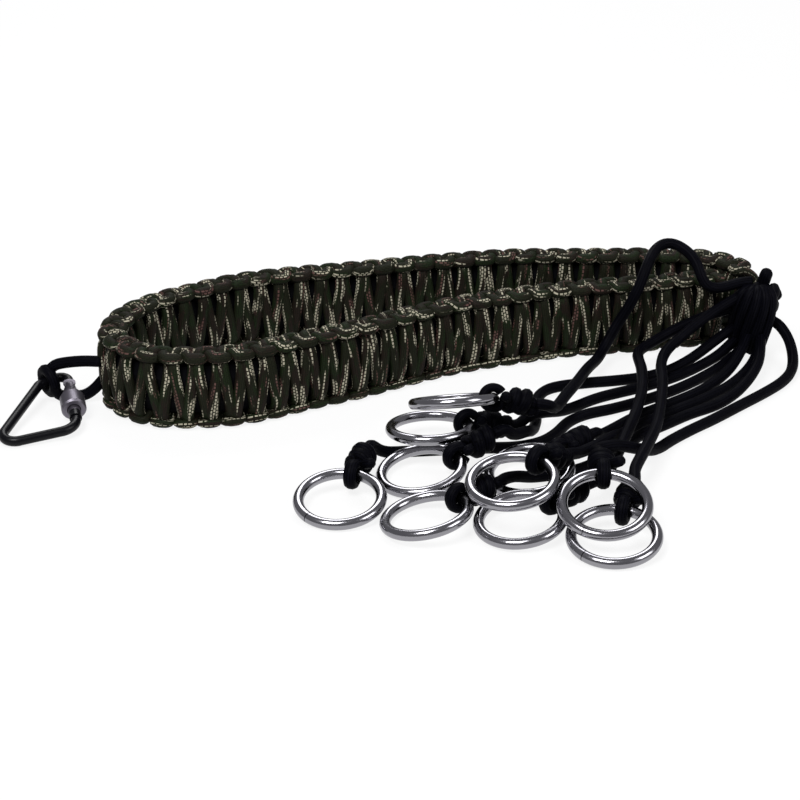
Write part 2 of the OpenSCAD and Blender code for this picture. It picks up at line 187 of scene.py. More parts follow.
def smooth_line(points: list | np.ndarray, steps: int) -> np.ndarray:
    """Draws the smooth line of the part's source through points.

    Args:
        points: Points in the layout's millimetres, of two or three numbers.
        steps: Steps to each span.

    Returns:
        The line's points as rows.
    """
    p = np.array(points, float)
    q = np.vstack([2 * p[0] - p[1], p, 2 * p[-1] - p[-2]])
    rows = []
    for a, b, c, d in zip(q, q[1:], q[2:], q[3:]):
        for k in range(steps):
            t = k / steps
            rows.append(0.5 * (2 * b + (c - a) * t + (2 * a - 5 * b + 4 * c - d) * t ** 2
                               + (3 * b - a - 3 * c + d) * t ** 3))
    rows.append(p[-1])
    return np.array(rows)


def run_lengths(line: np.ndarray) -> np.ndarray:
    """Gives the distance run at each point of a line."""
    return np.concatenate([[0.0], np.cumsum(np.linalg.norm(np.diff(line, axis=0), axis=1))])


def at_runs(line: np.ndarray, runs: np.ndarray) -> np.ndarray:
    """Reads a line's points at given distances along it.

    Args:
        line: The line's points as rows.
        runs: Distances along the line.

    Returns:
        One point for each distance.
    """
    s = run_lengths(line)
    return np.stack([np.interp(runs, s, line[:, c]) for c in range(line.shape[1])], 1)


def even_line(line: np.ndarray, step: float) -> np.ndarray:
    """Spaces a line's points evenly, about one step apart."""
    total = run_lengths(line)[-1]
    return at_runs(line, np.linspace(0, total, max(4, round(total / step)) + 1))


def tangents(line: np.ndarray) -> np.ndarray:
    """Gives the unit direction of a line at each of its points."""
    return unit(np.gradient(line, axis=0))


@dataclass
class Tube:
    """One cord swept along a line, in the layout's millimetres.

    Attributes:
        line: The cord's middle line.
        radius: Half its width across the surface that it lies on.
        flat: Half its height over that surface as a share of radius.
        normals: Direction of that surface at each point, or None for a round cord.
        sides: Number of sides.
        round_ends: Whether the ends close in a melted dome.
        tip: Square of the radius's share at the tip of such a dome.
    """

    line: np.ndarray
    radius: float
    flat: float = 1.0
    normals: np.ndarray | None = None
    sides: int = 10
    round_ends: bool = False
    tip: float = 0.05

    def frames(self) -> tuple[np.ndarray, np.ndarray]:
        """Gives the two cross directions at each point.

        Returns:
            Sideways and upward unit vectors, one row to a point.
        """
        t = tangents(self.line)
        if self.normals is not None:
            upward = unit(self.normals - np.sum(self.normals * t, 1, keepdims=True) * t)
            return np.cross(t, upward), upward
        steep = abs(t[0][2]) >= 0.9
        side = np.cross(t[0], np.array([1.0, 0, 0]) if steep else UP)
        rows = []
        for direction in t:
            side = unit(side - np.dot(side, direction) * direction)
            rows.append(side)
        sideways = np.array(rows)
        return sideways, np.cross(sideways, t)

    def scales(self) -> np.ndarray:
        """Gives the share of the radius at each point, less near a melted end.

        Returns:
            One share to a point.
        """
        s = run_lengths(self.line)
        if not self.round_ends:
            return np.ones(len(s))
        room = np.minimum(s, s[-1] - s) / self.radius
        return np.sqrt(np.clip(1 - (1 - np.clip(room, 0, 1)) ** 2, self.tip, 1))

    def mesh(self, shift: int) -> tuple[list, list, list]:
        """Makes the tube's vertices, faces and surface coordinates.

        Args:
            shift: Index of the tube's first vertex in the joined mesh.

        Returns:
            Vertices in metres, faces, and for each face its corners' millimetres along and round the cord.
        """
        sideways, upward = self.frames()
        n, rows = self.sides, len(self.line)
        turn = np.linspace(0, FULL_TURN, n, endpoint=False)
        scale = self.scales()[:, None, None] * self.radius
        ring = (np.cos(turn)[None, :, None] * sideways[:, None]
                + self.flat * np.sin(turn)[None, :, None] * upward[:, None])
        verts = ((self.line[:, None] + scale * ring).reshape(-1, 3) + LAYOUT) * MM
        s = run_lengths(self.line)
        around = FULL_TURN * self.radius / n
        faces, coords = [], []
        for i in range(rows - 1):
            for j in range(n):
                k = (j + 1) % n
                faces.append([shift + v for v in (i * n + j, i * n + k, (i + 1) * n + k, (i + 1) * n + j)])
                coords.append([(s[i], j * around), (s[i], (j + 1) * around), (s[i + 1], (j + 1) * around),
                               (s[i + 1], j * around)])
        for row, order in ((0, range(n - 1, -1, -1)), (rows - 1, range(n))):
            faces.append([shift + row * n + j for j in order])
            coords.append([(s[row], j * around) for j in order])
        return verts.tolist(), faces, coords


def cord_piece(name: str, tubes: list[Tube], material: bpy.types.Material) -> bpy.types.Object:
    """Joins swept cords into one object at the origin.

    Args:
        name: The piece's name.
        tubes: Cords of the piece.
        material: Finish of the cord.

    Returns:
        The new object.
    """
    verts, faces, coords = [], [], []
    for tube in tubes:
        v, f, c = tube.mesh(len(verts))
        verts += v
        faces += f
        coords += c
    mesh = bpy.data.meshes.new(name)
    mesh.from_pydata(verts, [], faces)
    layer = mesh.uv_layers.new(name=CORD_MAP)
    layer.data.foreach_set("uv", [x for face in coords for corner in face for x in corner])
    mesh.polygons.foreach_set("use_smooth", [True] * len(faces))
    mesh.update()
    piece = bpy.data.objects.new(name, mesh)
    bpy.context.scene.collection.objects.link(piece)
    mesh.materials.append(material)
    return piece


@dataclass(frozen=True)
class Patches:
    """Patches of one kind of yarn along a cord.

    Attributes:
        move: Shift of the pattern.
        stretch: Patches to one patch length along the cord.
        across: Patches to a millimetre round the cord.
        start: Noise value where a patch begins.
        full: Noise value where it is full.
    """

    move: tuple[float, float]
    stretch: float
    across: float
    start: float
    full: float


SECOND_PATCHES = Patches((0.0, 0.0), 1.0, 0.22, 0.5, 0.58)
THIRD_PATCHES = Patches((4.1, 9.2), 1.0, 0.2, 0.54, 0.6)

# Tracer yarns come up two or three side by side for a short way, as rows of reddish and of pale dashes
REDDISH_RUNS = Patches((2.7, 5.4), 0.8, 0.4, 0.62, 0.65)
PALE_RUNS = Patches((7.3, 2.1), 0.8, 0.4, 0.575, 0.605)


@dataclass(frozen=True)
class BraidedCord:
    """Nylon sheath of utility cord: fine braided yarns with a soft sheen that break up the highlight.

    The real braid is too fine to show in the render, so its stitches and the tracer yarns' dashes are drawn coarser.

    Attributes:
        name: Name of the material.
        base: Hex colour of most yarns.
        second: Hex colour of the yarns that show in one set of patches.
        third: Hex colour of the yarns that show in another.
        tracers: Hex colours of the pale and the reddish tracer yarns, or None for a plain cord.
        groove_shade: Hex colour of the painted shade in the grooves between the yarns.
        rough: Roughness of the yarns.
        gloss: Strength of their highlight.
        stitch_len: Length of one stitch with its gap.
        stitch_w: Width of one row of stitches.
        stitch_gap: Half the gap round each stitch.
        relief: Strength of the stitches' relief.
        relief_m: Depth of that relief, in metres.
        patch_len: Length of one patch of colour.
        dash_len: Length of one tracer dash with its gap.
        dash_row: Width of one row of dashes.
        dash_gap: Half the gap round each dash.
        dash_edge: Values across a dash's gap where the dash fades out and where it is full.
    """

    name: str
    base: str
    second: str
    third: str
    tracers: tuple[str, str] | None
    groove_shade: str
    rough: float
    gloss: float
    stitch_len: float = 1.5
    stitch_w: float = 0.9
    stitch_gap: float = 0.16
    relief: float = 0.5
    relief_m: float = 0.0003
    patch_len: float = 11.0
    dash_len: float = 1.4
    dash_row: float = 1.2
    dash_gap: float = 0.28
    dash_edge: tuple[float, float] = (0.7, 0.2)

    def noise(self, tree: bpy.types.NodeTree, uv: bpy.types.NodeSocket, patches: Patches) -> bpy.types.NodeSocket:
        """Adds patches of noise stretched along the cord.

        Args:
            tree: Node tree of the material.
            uv: Millimetres along and round the cord.
            patches: Place, size and share of the patches.

        Returns:
            The patches' share from nought to one.
        """
        placed = add_node(tree, "ShaderNodeMapping", {"Vector": uv}, {
            "Location": (*patches.move, 0), "Scale": (patches.stretch / self.patch_len, patches.across, 1)})
        noise = add_node(tree, "ShaderNodeTexNoise", {"Vector": placed.outputs["Vector"]},
                         {"Scale": 1.0, "Detail": 1.0})
        spread = add_node(tree, "ShaderNodeMapRange", {"Value": noise.outputs["Fac"]},
                          {"From Min": patches.start, "From Max": patches.full})
        return spread.outputs["Result"]

    @staticmethod
    def rows(tree: bpy.types.NodeTree, uv: bpy.types.NodeSocket, length: float, width: float,
             gap: float) -> bpy.types.NodeSocket:
        """Adds rows of stitches along the cord.

        Args:
            tree: Node tree of the material.
            uv: Millimetres along and round the cord.
            length: Length of one stitch with its gap.
            width: Width of one row.
            gap: Half the gap round each stitch.

        Returns:
            Nought on the stitches and one between them.
        """
        bricks = add_node(tree, "ShaderNodeTexBrick", {"Vector": uv}, {
            "Scale": 1.0, "Mortar Size": gap, "Mortar Smooth": 0.5, "Bias": 0.0, "Brick Width": length,
            "Row Height": width})
        return bricks.outputs["Fac"]

    @staticmethod
    def blend(tree: bpy.types.NodeTree, share: bpy.types.NodeSocket, under: bpy.types.NodeSocket | str,
              over: str) -> bpy.types.NodeSocket:
        """Lays one colour over another.

        Args:
            tree: Node tree of the material.
            share: Share of the upper colour.
            under: Socket of the lower colour, or its hex where it is a constant.
            over: Hex of the upper colour.

        Returns:
            The mixed colour.
        """
        mix = add_node(tree, "ShaderNodeMix", {"Factor": share}, data_type="RGBA")
        if isinstance(under, str):
            mix.inputs["A"].default_value = srgb(under)
        else:
            tree.links.new(under, mix.inputs["A"])
        mix.inputs["B"].default_value = srgb(over)
        return mix.outputs["Result"]

    def make(self) -> bpy.types.Material:
        """Builds the material on the cord's own millimetre coordinates.

        Returns:
            The new material.
        """
        material, tree, shader = new_material(self.name)
        uv = add_node(tree, "ShaderNodeUVMap", uv_map=CORD_MAP).outputs["UV"]
        grooves = self.rows(tree, uv, self.stitch_len, self.stitch_w, self.stitch_gap)
        result = self.blend(tree, self.noise(tree, uv, SECOND_PATCHES), self.base, self.second)
        result = self.blend(tree, self.noise(tree, uv, THIRD_PATCHES), result, self.third)
        # Painted shade: the gaps between the stitches are darkened to the colour of the shade between the yarns
        result = self.blend(tree, grooves, result, self.groove_shade)
        if self.tracers is not None:
            pale, reddish = self.tracers
            faded, full = self.dash_edge
            gaps = self.rows(tree, uv, self.dash_len, self.dash_row, self.dash_gap)
            dashes = add_node(tree, "ShaderNodeMapRange", {"Value": gaps}, {"From Min": faded, "From Max": full})
            for colour, runs in ((reddish, REDDISH_RUNS), (pale, PALE_RUNS)):
                shown = self.noise(tree, uv, runs)
                mask = add_node(tree, "ShaderNodeMath", {0: shown, 1: dashes.outputs["Result"]}, operation="MULTIPLY")
                result = self.blend(tree, mask.outputs["Value"], result, colour)
        bump = add_node(tree, "ShaderNodeBump", {"Height": grooves},
                        {"Strength": self.relief, "Distance": self.relief_m}, invert=True)
        tree.links.new(result, shader.inputs["Base Color"])
        tree.links.new(bump.outputs["Normal"], shader.inputs["Normal"])
        shader.inputs["Roughness"].default_value = self.rough
        shader.inputs["Specular IOR Level"].default_value = self.gloss
        return material


@dataclass(frozen=True)
class PlainFinish:
    """A finish that is the same all over.

    Attributes:
        name: Name of the material.
        colour: Hex colour.
        rough: Roughness of the surface.
        metallic: One for bare metal, nought for anything else.
        gloss: Strength of the highlight where it is no bare metal.
    """

    name: str
    colour: str
    rough: float
    metallic: float = 1.0
    gloss: float = 0.5

    def make(self) -> bpy.types.Material:
        """Builds the material.

        Returns:
            The new material.
        """
        material, _, shader = new_material(self.name)
        shader.inputs["Base Color"].default_value = srgb(self.colour)
        shader.inputs["Roughness"].default_value = self.rough
        shader.inputs["Metallic"].default_value = self.metallic
        shader.inputs["Specular IOR Level"].default_value = self.gloss
        return material


# Camouflage nylon cord: matt olive with brown and green patches, and short runs of pale and reddish dashes, with
# painted shade in the grooves between its yarns
CAMO_CORD = BraidedCord("camouflage_nylon_cord", "#191b0f", "#1e1611", "#17220f", ("#a5a08d", "#573f3b"), "#0f1009",
                        rough=0.6, gloss=0.085)
# Black nylon cord: nearly no sheen, and faint ribs that run lengthwise, so its stitches are drawn very long, with
# painted shade in the grooves between them
BLACK_CORD = BraidedCord("black_nylon_cord", "#07070d", "#09090f", "#06060b", None, "#010102",
                         rough=0.5, gloss=0.024, stitch_len=30.0, stitch_w=1.1)
# Black nylon cord inside the weave: plain matt black that shows only in the gaps
INNER_CORD = PlainFinish("black_inner_cord", "#050508", 0.7, metallic=0.0, gloss=0.05)
# Nickel-plated steel of the rings: polished, with sharp bright streaks on a grey that mirrors the room
NICKEL = PlainFinish("nickel_plated_steel", "#949398", 0.17)
# Black gloss enamel on the carabiner's bar: a dark body with a soft streak of light
ENAMEL = PlainFinish("black_gloss_enamel", "#07070b", 0.32, metallic=0.0, gloss=0.15)
# Satin zinc of the gate, its sleeve, pin and plunger: a blurred highlight on a cool grey
SATIN = PlainFinish("satin_zinc", "#747079", 0.46)
# Bare spring steel inside the gate: a plain dull grey
SPRING_STEEL = PlainFinish("spring_steel", "#808084", 0.35)


@dataclass
class WovenStrap:
    """Strap woven of two camouflage cords over the black inner weave.

    Each cord crosses one face in a zigzag of bars and makes the edge knots of the other face.

    Attributes:
        width: Width of the strap.
        knot_pitch: Distance between two knots of one edge.
        cord_half_w: Half the width of the flattened cord.
        cord_flat: Its height as a share of its width.
        lean: How far each end of a bar leans along the strap.
        collar: Half the length of an edge knot.
        bump_across: Place of an edge knot across the strap.
        bump_out: Its height over the strap's middle plane.
        bump_drawn: How much nearer to the middle its first end is drawn.
        bump_dip: How much lower than its middle its ends are.
        edge_across: Place across the strap where the cord turns over the edge.
        edge_lean: Share of the lean there.
        edge_out: Height there.
        bar_across: Place across the strap where a bar begins and ends.
        bar_out: Height of a bar where it begins.
        bar_crown: How much higher its middle is.
        tuck_out: Its height where it ends.
        tuck_across: Place across the strap where it goes in under the next edge knot.
        tuck_lean: Share of the lean there.
        tuck_in: Height there.
        end_trim: Length left out at either end of the strap.
        steps: Points to each span of the cord.
        plan_steps: Points to each span of the strap's plan.
        sight: Distance onward and behind over which the strap's direction is taken.
        face_flat: Height at which the cord lies flat on a face.
        edge_flat: Place across the strap at which it lies flat on an edge.
    """

    width: float = 31.5
    knot_pitch: float = 8.6
    cord_half_w: float = 2.3
    cord_flat: float = 0.8
    lean: float = 1.35
    collar: float = 2.3
    bump_across: float = 13.5
    bump_out: float = 3.7
    bump_drawn: float = 0.2
    bump_dip: float = 0.5
    edge_across: float = 13.6
    edge_lean: float = 0.9
    edge_out: float = -0.2
    bar_across: float = 9.4
    bar_out: float = 4.15
    bar_crown: float = 0.3
    tuck_out: float = 3.2
    tuck_across: float = 12.0
    tuck_lean: float = 0.2
    tuck_in: float = -0.8
    end_trim: float = 0.5
    steps: int = 4
    plan_steps: int = 20
    sight: float = 2.0
    face_flat: float = 5.0
    edge_flat: float = 15.0

    def keys(self, pitch: float, count: int) -> np.ndarray:
        """Lists the turning points of one cord.

        Args:
            pitch: Distance between two knots of one edge.
            count: Number of knots.

        Returns:
            Rows of distance along the strap, place across its width and height over its middle plane.
        """
        rows = []
        low = -self.bump_out + self.bump_dip
        for half in range(2 * count):
            knot, side = half * pitch / 2, 1 if half % 2 == 0 else -1
            bar = knot + pitch / 4
            rows += [
                (knot - self.collar, -side * (self.bump_across - self.bump_drawn), low),
                (knot, -side * self.bump_across, -self.bump_out),
                (knot + self.collar, -side * self.bump_across, low),
                (bar + self.edge_lean * self.lean, -side * self.edge_across, self.edge_out),
                (bar + self.lean, -side * self.bar_across, self.bar_out),
                (bar, 0, self.bar_out + self.bar_crown),
                (bar - self.lean, side * self.bar_across, self.tuck_out),
                (bar - self.tuck_lean * self.lean, side * self.tuck_across, self.tuck_in),
            ]
        return np.array(rows)

    def cord(self, turned: bool) -> Tube:
        """Sweeps one of the two cords along the strap.

        Args:
            turned: Whether the cord is the one turned half round the strap's middle line.

        Returns:
            The cord's tube.
        """
        plan = smooth_line(STRAP_PLAN, self.plan_steps)
        total = run_lengths(plan)[-1]
        count = round(total / self.knot_pitch)
        local = smooth_line(self.keys(total / count, count), self.steps)
        local = local[(local[:, 0] > self.end_trim) & (local[:, 0] < total - self.end_trim)]
        s, across, out = local.T
        if turned:
            across, out = -across, -out
        place = at_runs(plan, s)
        onward, behind = np.minimum(s + self.sight, total), np.maximum(s - self.sight, 0)
        ahead = unit(at_runs(plan, onward) - at_runs(plan, behind))
        outward = np.stack([-ahead[:, 1], ahead[:, 0]], 1)
        line = np.column_stack([place + outward * out[:, None], self.width / 2 + across])
        # Odd powers keep the sign, and turn the cord over sharply between face and edge
        face = (out / self.face_flat) ** 3
        edge = (across / self.edge_flat) ** 5
        normals = np.column_stack([outward * face[:, None], edge])
        return Tube(line, self.cord_half_w, self.cord_flat, unit(normals))

    def build(self, finish: bpy.types.Material) -> None:
        """Makes both cords, which replace the plain weave.

        Args:
            finish: Material of the camouflage cord.
        """
        for name, turned in (("weave_cord_outer", False), ("weave_cord_inner", True)):
            piece = cord_piece(name, [self.cord(turned)], finish)
            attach(piece, "strap")
            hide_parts("strap_weave")
            LOG.info("%s: %d faces", name, len(piece.data.polygons))


def tie_to_strap(piece: bpy.types.Object, node: str) -> None:
    """Puts a piece of black cord on the strap in place of a node of the frame.

    Args:
        piece: The piece.
        node: The frame's node that it replaces.
    """
    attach(piece, "strap")
    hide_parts(node)


def free_cord(piece: bpy.types.Object, node: str) -> None:
    """Puts a black cord, which lies free between two places on the object, on the strap in place of a frame node.

    Args:
        piece: The cord's mesh.
        node: The frame's node that it replaces.
    """
    tie_to_strap(piece, node)


@dataclass
class Dropper:
    """One dropper: a black cord from the binding knot to a barrel knot whose eye holds a ring.

    Attributes:
        number: Number of the dropper and its ring.
        route: Points from the ring's knot to the binding knot.
        eye_turn: Plan direction of the eye from the ring's middle, in degrees.
        rise: Rise of the knot away from the ring, in degrees.
        centre: Middle of the ring.
        axis: Unit direction of the ring's axis.
        ring_r: Radius of the ring at the middle of its wire.
        eye_r: Radius of the eye before it is drawn tight.
        eye_share: Share of the cord's diameter between that eye and the knot.
        knot_d: Diameter of the knot.
        knot_len: Length of the knot.
        wraps: Turns of cord round the knot.
        wrap_points: Points of the cord to each turn.
        wrap_seat: Depth of a wrap's middle under the knot's surface as a share of its radius.
        first_wrap: Distance from the knot's near end to its first wrap.
        phase_step: Turn of each knot against the one before it, in radians, so that no two look the same.
        sunk: How far the cord's end is sunk in the knot.
        lead: How far the cord runs straight on from the knot.
        bound_share: Share of the way from the route's end to the binding knot's middle that the cord goes on.
        soften: Rounds of averaging that take the sharpness out of the cord's bends.
        step: Distance between two points of the cord.
        tight_r: Radius of the eye drawn tight on the ring's wire.
        tight_w: Width of its cord, which flattens there, as a share of the plain cord's.
        tight_flat: Height of its cord as a share of that width.
        eye_arc: Part of the eye's circle that is drawn, in degrees.
        throat: Distance from the eye's middle to the near end of the knot behind it.
        heart_short: How far short of the knot's far end its heart stops.
        slant: Turn of the strand that lies aslant over the wraps, at its two ends, in radians.
        slant_inset: Share of a wrap's radius that it keeps from the knot's ends.
        slant_rise: Its rise over the wraps.
        slant_dip: How much lower its ends are.
        thin: Width of that strand and of the cut end as a share of the plain cord's.
        tag_from: Where the cut end leaves the knot: along it from its first wrap, across and over it.
        tag_way: Direction of the cut end: along the knot, across and over it.
        tag_len: Length of the cut end.
    """

    number: int
    route: list
    eye_turn: float
    rise: float
    centre: np.ndarray
    axis: np.ndarray
    ring_r: float = 14.7
    eye_r: float = 4.7
    eye_share: float = 0.39
    knot_d: float = 10.4
    knot_len: float = 11.0
    wraps: float = 2.3
    wrap_points: int = 24
    wrap_seat: float = 1.02
    first_wrap: float = 0.5
    phase_step: float = 1.9
    sunk: float = 1.0
    lead: float = 4.0
    bound_share: float = 0.6
    soften: int = 4
    step: float = 1.6
    tight_r: float = 3.8
    tight_w: float = 1.1
    tight_flat: float = 0.72
    eye_arc: tuple[float, float] = (30, 330)
    throat: float = 2.4
    heart_short: float = 0.5
    slant: tuple[float, float] = (2.6, 0.9)
    slant_inset: float = 0.6
    slant_rise: float = 0.7
    slant_dip: float = 0.792
    thin: float = 0.9
    tag_from: tuple[float, float, float] = (2.0, 2.5, 1.5)
    tag_way: tuple[float, float, float] = (-0.45, 0.75, 0.5)
    tag_len: float = 6.5

    def __post_init__(self) -> None:
        """Works out the eye's place on the ring, the knot's directions and its two ends."""
        slope = unit(UP - np.dot(UP, self.axis) * self.axis)
        level = np.cross(self.axis, slope)
        turn = math.radians(self.eye_turn) - math.atan2(slope[1], slope[0])
        self.eye_dir = math.cos(turn) * slope + math.sin(turn) * level
        self.eye = self.centre + self.ring_r * self.eye_dir
        flat = unit(self.eye_dir * np.array([1.0, 1.0, 0.0]))
        rise = math.radians(self.rise)
        self.along = math.cos(rise) * flat + math.sin(rise) * UP
        self.across = unit(np.cross(self.along, UP))
        self.over = np.cross(self.across, self.along)
        self.start = self.throat + self.first_wrap
        self.end = self.eye_r + self.eye_share * CORD_D + self.knot_len

    def cord_line(self) -> np.ndarray:
        """Leads the cord from the binding knot to inside the ring's knot.

        Returns:
            The cord's middle line.
        """
        near = [self.eye + self.along * (self.end - self.sunk), self.eye + self.along * (self.end + self.lead)]
        last = np.array(self.route[-1], float)
        bound = last + self.bound_share * (np.array([*BINDING_SEAT, last[2]]) - last)
        points = [tuple(p) for p in (*near, *self.route, bound)]
        line = even_line(smooth_line(points, SPAN_STEPS), self.step)[::-1]
        for _ in range(self.soften):
            line[1:-1] = 0.25 * line[:-2] + 0.5 * line[1:-1] + 0.25 * line[2:]
        return line

    def wind(self, turns: np.ndarray, inset: float, reach: np.ndarray) -> np.ndarray:
        """Winds a line round the knot from one end to the other.

        Args:
            turns: Turn at each point, in radians.
            inset: Distance that the line keeps from the knot's ends.
            reach: Distance from the knot's middle line at each point.

        Returns:
            The line's points.
        """
        run = np.linspace(self.start + inset, self.end - inset, len(turns))
        out = np.cos(turns)[:, None] * self.across + np.sin(turns)[:, None] * self.over
        return self.eye + run[:, None] * self.along + reach[:, None] * out

    def knot(self) -> list[Tube]:
        """Makes the knot's wraps, the strand over them, its eye round the ring, its cut end and its heart.

        Returns:
            The cords of the knot.
        """
        cord_r = CORD_D / 2
        phase = self.phase_step * self.number
        wrap_r = (self.end - self.start) / (2 * self.wraps + 1)
        mid = self.knot_d / 2 - wrap_r * self.wrap_seat
        turns = phase + np.linspace(0, FULL_TURN * self.wraps, round(self.wrap_points * self.wraps))
        helix = self.wind(turns, wrap_r, np.full(len(turns), mid))
        # The last number in each linspace is the count of points, enough for a smooth bend
        slant = phase + np.linspace(*self.slant, 14)
        bow = self.slant_rise - self.slant_dip * np.linspace(-1, 1, len(slant)) ** 2
        strand = self.wind(slant, self.slant_inset * wrap_r, mid + bow)
        loop = np.radians(np.linspace(*self.eye_arc, 44))
        away = np.cos(loop)[:, None] * self.eye_dir + np.sin(loop)[:, None] * self.axis
        axes = np.array([self.along, self.across, self.over])
        tag_root = self.eye + self.along * self.start + np.array(self.tag_from) @ axes
        tag = tag_root + np.linspace(0, self.tag_len, 9)[:, None] * (np.array(self.tag_way) @ axes)
        heart = self.eye + np.linspace(self.throat, self.end - self.heart_short, 16)[:, None] * self.along
        return [
            Tube(helix, wrap_r),
            Tube(strand, cord_r * self.thin),
            Tube(self.eye + self.tight_r * away, cord_r * self.tight_w, self.tight_flat, away),
            Tube(tag, cord_r * self.thin, round_ends=True),
            Tube(heart, mid, round_ends=True),
        ]

    def build(self, finish: bpy.types.Material) -> None:
        """Makes the cord and its knot.

        Args:
            finish: Material of the black cord.
        """
        tie_to_strap(cord_piece(f"barrel_knot_{self.number}", self.knot(), finish), f"ring_knot_{self.number}")
        line = self.cord_line()
        cord = cord_piece(f"dropper_cord_{self.number}", [Tube(line, CORD_D / 2)], finish)
        free_cord(cord, f"dropper_{self.number}")


@dataclass
class BindingKnot:
    """Binding knot of black cord round the strap's ends, with cords folded up over its front before they fan out.

    Attributes:
        seat: Plan of its middle.
        diameter: Its diameter.
        height: Its height.
        wraps: Turns of cord round it.
        wrap_points: Points of the cord to each turn.
        wraps_from: Height of the lowest wrap.
        top_gap: Distance from the uppermost wrap to the knot's top.
        foot_share: Share of the full radius that the knot narrows to at its foot.
        full_share: Share of the height from which it has its full radius.
        wrap_w: Width of the wraps as a share of the plain cord's.
        folds: Plan directions of the cords that stand over the wraps, in degrees.
        fold_lean: Lean of those cords, in degrees.
        fold_out: How far their middle lines stand outside the knot.
        ends: Cut ends that stand out of the knot, each from where it leaves it to its tip.
        end_w: Width of the cut ends, which are melted, as a share of the plain cord's.
    """

    seat: tuple[float, float] = BINDING_SEAT
    diameter: float = 18.0
    height: float = 30.0
    wraps: int = 3
    wrap_points: int = 30
    wraps_from: float = 9.0
    top_gap: float = 1.0
    foot_share: float = 0.62
    full_share: float = 0.7
    wrap_w: float = 1.15
    folds: tuple = (-178, -152, -127, -103, -80)
    fold_lean: float = 16.0
    fold_out: float = 0.2
    ends: list = field(default_factory=lambda: [
        [(154, 15, 26), (155, 14.5, 31), (155.6, 13, 35.8)],
        [(156, 12, 23), (159, 11.5, 25), (160.6, 11, 27)],
    ])
    end_w: float = 1.2

    def fold(self, direction: float) -> Tube:
        """Makes one cord that climbs the front of the knot and turns in over its top.

        Args:
            direction: Plan direction of the cord from the knot's middle, in degrees.

        Returns:
            The cord's tube.
        """
        reach, top = self.diameter / 2 + self.fold_out, self.height
        # Distance from the knot's middle, height and share of the lean, on the way up
        climb = ((reach - 1.5, 2.6, -1), (reach, 9, -0.6), (reach + 0.3, top / 2, 0), (reach - 0.2, top - 7, 0.7),
                 (reach - 2.2, top - 2.6, 1), (reach - 6, top - 1.6, 1))
        rows = []
        for r, z, lean in climb:
            turn = math.radians(direction + lean * self.fold_lean)
            rows.append((self.seat[0] + r * math.cos(turn), self.seat[1] + r * math.sin(turn), z))
        return Tube(even_line(smooth_line(rows, 8), 1.2), CORD_D / 2)

    def build(self, finish: bpy.types.Material) -> None:
        """Makes the wraps, the bundle inside them, the folded cords and the cut ends.

        Args:
            finish: Material of the black cord.
        """
        cord_r = CORD_D / 2
        turns = np.linspace(0, FULL_TURN * self.wraps, self.wrap_points * self.wraps)
        mid = self.diameter / 2 - cord_r
        z = np.linspace(self.wraps_from, self.height - cord_r - self.top_gap, len(turns))
        reach = mid * np.interp(z, [0, self.height * self.full_share], [self.foot_share, 1])
        helix = np.column_stack([self.seat[0] + reach * np.cos(turns), self.seat[1] + reach * np.sin(turns), z])
        bundle = np.array([(*self.seat, h) for h in np.linspace(0.5, self.height, 12)])
        tubes = [Tube(helix, cord_r * self.wrap_w), Tube(bundle, mid * self.foot_share, sides=24, round_ends=True)]
        tubes += [self.fold(direction) for direction in self.folds]
        for end in self.ends:
            tubes.append(Tube(even_line(smooth_line(end, 6), 0.9), cord_r * self.end_w, round_ends=True))
        tie_to_strap(cord_piece("binding_wraps", tubes, finish), "binding_knot")
        LOG.info("binding knot: %d wraps and %d folded cords", self.wraps, len(self.folds))


@dataclass
class CarabinerLoop:
    """Black cord loop that ties the carabiner to the strap's bend.

    Attributes:
        seat: Middle of the carabiner's bar in the hitch.
        bar_axis: Direction of that bar.
        hitch_r: Radius of the hitch at the middle of its cord.
        bend_part: Shares of the way round the bar, from one side of the loop to the other, that its bend covers.
        step: Distance between two points of the loop.
    """

    seat: np.ndarray
    bar_axis: np.ndarray
    hitch_r: float = 4.6
    bend_part: tuple[float, float] = (0.15, 0.85)
    step: float = 1.5

    def build(self, finish: bpy.types.Material) -> None:
        """Makes the hitch round the carabiner's bar, and one cord out of the strap, round the bar and back.

        Args:
            finish: Material of the black cord.
        """
        axis = unit(self.bar_axis)
        across = unit(np.cross(axis, UP))
        over = np.cross(across, axis)

        def round_bar(turn: np.ndarray) -> np.ndarray:
            """Gives points round the bar at the hitch's radius."""
            return self.seat + self.hitch_r * (np.cos(turn)[:, None] * across + np.sin(turn)[:, None] * over)

        def turn_of(point: np.ndarray) -> float:
            """Gives the turn round the bar at which a point lies."""
            return math.atan2(np.dot(point - self.seat, over), np.dot(point - self.seat, across))

        hitch = cord_piece("hitch_turn", [Tube(round_bar(np.linspace(0, FULL_TURN, 41)), CORD_D / 2)], finish)
        tie_to_strap(hitch, "carabiner_hitch")
        upper, lower = (smooth_line(route, SPAN_STEPS) for route in LOOP_ROUTES)
        first, last = turn_of(upper[0]), turn_of(lower[0])
        sweep = (last - first + math.pi) % FULL_TURN - math.pi
        bend = round_bar(first + sweep * np.linspace(*self.bend_part, 12))
        line = even_line(np.vstack([upper[::-1], bend, lower]), self.step)
        free_cord(cord_piece("loop_cord", [Tube(line, CORD_D / 2)], finish), "carabiner_loop")


@dataclass(frozen=True)
class Lamp:
    """One soft lamp that shines at the object.

    Attributes:
        name: The lamp's name.
        place: Its place in metres.
        size: Side of its square, in metres.
        power: Its power in watts.
    """

    name: str
    place: tuple[float, float, float]
    size: float
    power: float

    def build(self) -> None:
        """Adds the lamp to the scene, turned to the origin."""
        data = bpy.data.lights.new(self.name, "AREA")
        data.size, data.energy = self.size, self.power
        lamp = bpy.data.objects.new(self.name, data)
        bpy.context.scene.collection.objects.link(lamp)
        lamp.location = self.place
        x, y, z = self.place
        lamp.rotation_euler = (math.atan2(math.hypot(x, y), z), 0, math.atan2(y, x) + math.pi / 2)


